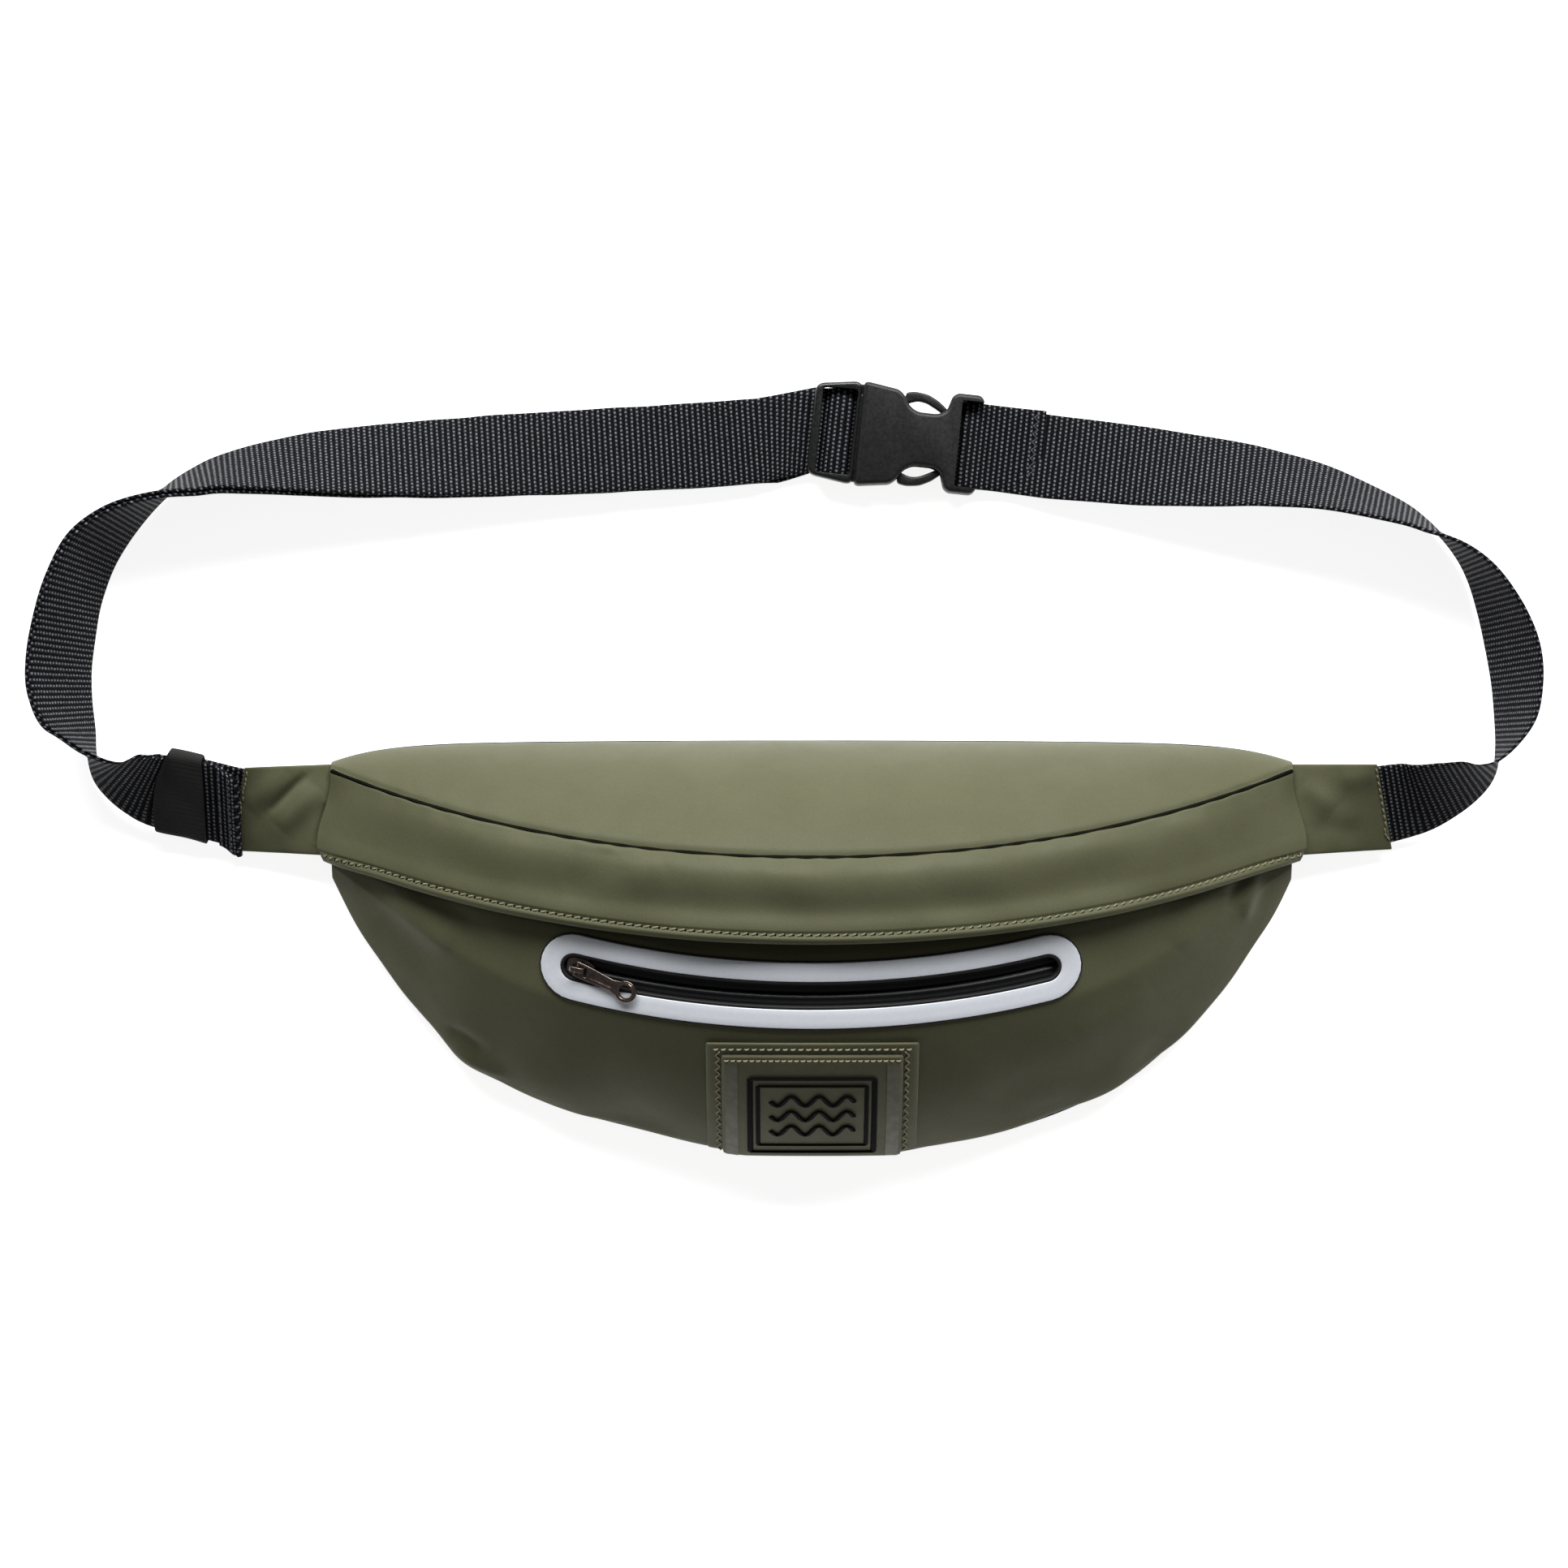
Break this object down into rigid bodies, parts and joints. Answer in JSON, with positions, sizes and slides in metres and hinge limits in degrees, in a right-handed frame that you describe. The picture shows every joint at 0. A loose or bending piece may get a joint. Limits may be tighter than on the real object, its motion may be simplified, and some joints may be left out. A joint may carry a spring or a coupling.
{
  "type": "waist bag",
  "caption": "Coated-fabric waist bag with a curved zip pocket, a covered main zip and an adjustable webbing belt closed by a side-release buckle.",
  "frame": {"origin": "middle of the back panel's flat resting face", "axes": "+X along the bag towards the female buckle's side, +Y towards the belt, +Z away from the wearer"},
  "size_m": [0.5261, 0.2738, 0.0672],
  "materials": {
    "coated_fabric": "olive polyurethane-coated woven fabric, satin",
    "coated_fabric_dark": "olive coated fabric, inner and rear faces",
    "lining": "thin dark lining",
    "foam": "soft closed-cell foam",
    "patch_fabric": "olive woven label with black embroidery",
    "reflective_tape": "light grey reflective bonded tape",
    "zip_tape": "black water-repellent zip tape, satin",
    "zip_coil": "black nylon coil",
    "dark_metal": "antique gunmetal plating",
    "webbing": "black ribbed nylon webbing",
    "elastic": "black woven elastic",
    "buckle_plastic": "black acetal, satin"
  },
  "bodies": {
    "bag": {"back_panel": "coated_fabric_dark", "back_foam_pad": "foam", "top_panel": "coated_fabric", "storm_flap": "coated_fabric", "zip_facing": "coated_fabric_dark", "front_panel": "coated_fabric", "reflective_frame": "reflective_tape", "pocket_lining": "lining", "label_patch": "patch_fabric", "label": "patch_fabric", "pocket_zip_tape_upper": "zip_tape", "pocket_zip_coil_upper": "zip_coil", "pocket_zip_tape_lower": "zip_tape", "pocket_zip_coil_lower": "zip_coil", "pocket_zip_stop_left": "dark_metal", "pocket_zip_stop_right": "dark_metal", "main_zip_tape_upper": "zip_tape", "main_zip_coil_upper": "zip_coil", "main_zip_tape_lower": "zip_tape", "main_zip_coil_lower": "zip_coil", "main_zip_stop_left": "dark_metal", "main_zip_stop_right": "dark_metal", "wing_left_front": "coated_fabric", "wing_left_back": "coated_fabric_dark", "wing_right_front": "coated_fabric", "wing_right_back": "coated_fabric_dark", "strap_left": "webbing", "strap_tail_hem": "webbing", "strap_right": "webbing", "male_buckle": "buckle_plastic"},
    "pocket_slider": {"pocket_zip_slider": "dark_metal"},
    "pocket_puller": {"pocket_zip_puller": "dark_metal"},
    "main_slider": {"main_zip_slider": "dark_metal"},
    "main_puller": {"main_zip_puller": "dark_metal"},
    "keeper": {"keeper": "elastic"},
    "female_half": {"female_buckle": "buckle_plastic"},
    "prong_upper": {"prong_upper": "buckle_plastic"},
    "prong_lower": {"prong_lower": "buckle_plastic"}
  },
  "joints": [
    {"name": "pocket_zip_travel", "type": "hinge", "parent": "bag", "child": "pocket_slider", "pos_m": [0, 0.16031, -0.12427], "axis": [0, 0.7205, 0.6935], "range_deg": [0, 36.7]},
    {"name": "pocket_puller_lift", "type": "hinge", "parent": "pocket_slider", "child": "pocket_puller", "pos_m": [-0.08028, -0.00444, 0.04798], "axis": [-0.3524, -0.8862, -0.3007], "range_deg": [0, 120]},
    {"name": "main_zip_travel", "type": "hinge", "parent": "bag", "child": "main_slider", "pos_m": [0, 0.15447, -0.17421], "axis": [0, 0.8568, 0.5157], "range_deg": [0, 54]},
    {"name": "main_puller_lift", "type": "hinge", "parent": "main_slider", "child": "main_puller", "pos_m": [-0.12455, 0.03048, 0.03518], "axis": [-0.2341, -0.971, -0.0482], "range_deg": [0, 3]},
    {"name": "keeper_slide", "type": "slide", "parent": "bag", "child": "keeper", "axis": [0.9705, -0.241, 0], "range_m": [0, 0.003]},
    {"name": "buckle_pull", "type": "slide", "parent": "bag", "child": "female_half", "axis": [0.9945, -0.1045, 0], "range_m": [0, 0.03], "deforming": ["strap_right", "prong_upper", "prong_lower"]},
    {"name": "prong_upper_squeeze", "type": "hinge", "parent": "bag", "child": "prong_upper", "pos_m": [0.02419, 0.19277, 0.0055], "axis": [0, 0, -1], "range_deg": [0, 12], "stiffness_Nm_per_rad": 1},
    {"name": "prong_lower_squeeze", "type": "hinge", "parent": "bag", "child": "prong_lower", "pos_m": [0.02168, 0.1689, 0.0055], "axis": [0, 0, 1], "range_deg": [0, 12], "stiffness_Nm_per_rad": 1}
  ],
  "couplings": [
    {"joint": "prong_lower_squeeze", "follows": "prong_upper_squeeze", "ratio": 1}
  ]
}
